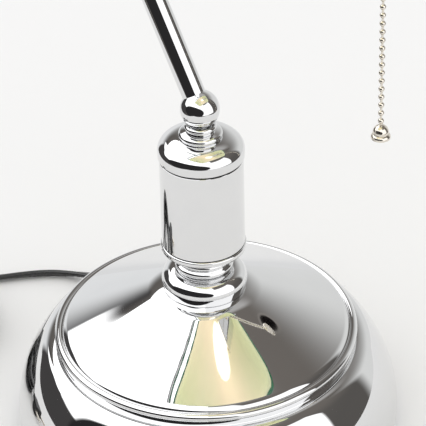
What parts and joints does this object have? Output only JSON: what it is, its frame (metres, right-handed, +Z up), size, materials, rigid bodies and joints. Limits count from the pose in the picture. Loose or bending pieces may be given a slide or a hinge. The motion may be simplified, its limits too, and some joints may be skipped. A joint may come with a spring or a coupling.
{
  "type": "bankers lamp",
  "caption": "Chrome desk lamp with a stepped weighted base, short column, bent arm and yoke, a tilting green glass shade and a bead pull-chain switch.",
  "frame": {"origin": "middle of the felt pad's underside, on the table", "axes": "+Z up the column, front of the lamp towards -Y, pull chain and lampholder on the +X side"},
  "size_m": [0.2806, 0.3294, 0.44],
  "materials": {
    "chrome": "polished chrome plate on steel",
    "zinc_steel": "zinc-plated steel",
    "cast_weight": "rough cast iron, painted",
    "felt": "dark pressed felt",
    "brass": "plain brass",
    "nickel": "bright nickel plate",
    "shade_green": "green glass cased over white inside",
    "bulb": "pearl glass",
    "moulding": "black moulded phenolic",
    "fibre": "pressed fibre",
    "cord_black": "glossy black flex covering",
    "tie_black": "soft black strap"
  },
  "bodies": {
    "stand": {"felt_pad": "felt", "base_plate": "zinc_steel", "base_weight": "cast_weight", "base_shell": "chrome", "cord_gland": "cord_black", "base_washer": "zinc_steel", "base_nut": "zinc_steel", "rod_spacer": "zinc_steel", "threaded_rod": "zinc_steel", "base_collar": "chrome", "waist_ring": "chrome", "column_rim": "chrome", "column_sleeve": "chrome", "column_cap": "chrome", "neck": "chrome", "knuckle_ball": "chrome", "arm_tube": "chrome", "yoke_hub": "chrome", "yoke_tube": "chrome", "yoke_eye_right": "chrome", "yoke_eye_left": "chrome", "stud_right": "zinc_steel", "stud_left": "zinc_steel", "friction_washers": "fibre", "inner_washers": "fibre", "inner_nut": "zinc_steel", "lampholder_cap": "chrome", "lampholder_body": "chrome", "switch_block": "moulding", "lampholder_sleeve": "chrome", "lampholder_liner": "brass", "lampholder_contact": "brass", "chain_guide": "brass", "bulb_glass": "bulb", "bulb_cap": "zinc_steel", "bulb_contact": "brass", "inner_lead": "cord_black", "cord": "cord_black", "cord_coil": "cord_black", "cord_tie": "tie_black", "cord_tail": "cord_black", "plug_body": "cord_black", "plug_pins": "zinc_steel"},
    "shade": {"shade_glass": "shade_green", "shade_bushes": "chrome", "bush_rings": "chrome"},
    "switch_pull": {"pull_lever": "brass"},
    "coupling": {"chain_coupling": "nickel"},
    "chain": {"pull_chain": "nickel", "chain_bell": "nickel"},
    "right_knob": {"knob_right": "chrome"},
    "left_knob": {"knob_left": "chrome"}
  },
  "joints": [
    {"name": "shade_tilt", "type": "hinge", "parent": "stand", "child": "shade", "pos_m": [0, -0.055, 0.39298], "axis": [1, 0, 0], "range_deg": [-35, 35]},
    {"name": "switch_pull", "type": "slide", "parent": "stand", "child": "switch_pull", "axis": [0, 0, -1], "range_m": [0, 0.01], "stiffness_N_per_m": 300, "springref_m": -0.01},
    {"name": "chain_swing_side", "type": "hinge", "parent": "switch_pull", "child": "coupling", "pos_m": [0.0722, -0.055, 0.36683], "axis": [0, 1, 0], "range_deg": [-15, 10]},
    {"name": "chain_swing_fore", "type": "hinge", "parent": "coupling", "child": "chain", "pos_m": [0.0722, -0.055, 0.36153], "axis": [1, 0, 0], "range_deg": [-15, 10]},
    {"name": "right_knob_turn", "type": "hinge", "parent": "stand", "child": "right_knob", "pos_m": [0.13, -0.055, 0.39298], "axis": [1, 0, 0], "range_deg": [0, 270]},
    {"name": "left_knob_turn", "type": "hinge", "parent": "stand", "child": "left_knob", "pos_m": [-0.13, -0.055, 0.39298], "axis": [-1, 0, 0], "range_deg": [0, 270]}
  ]
}
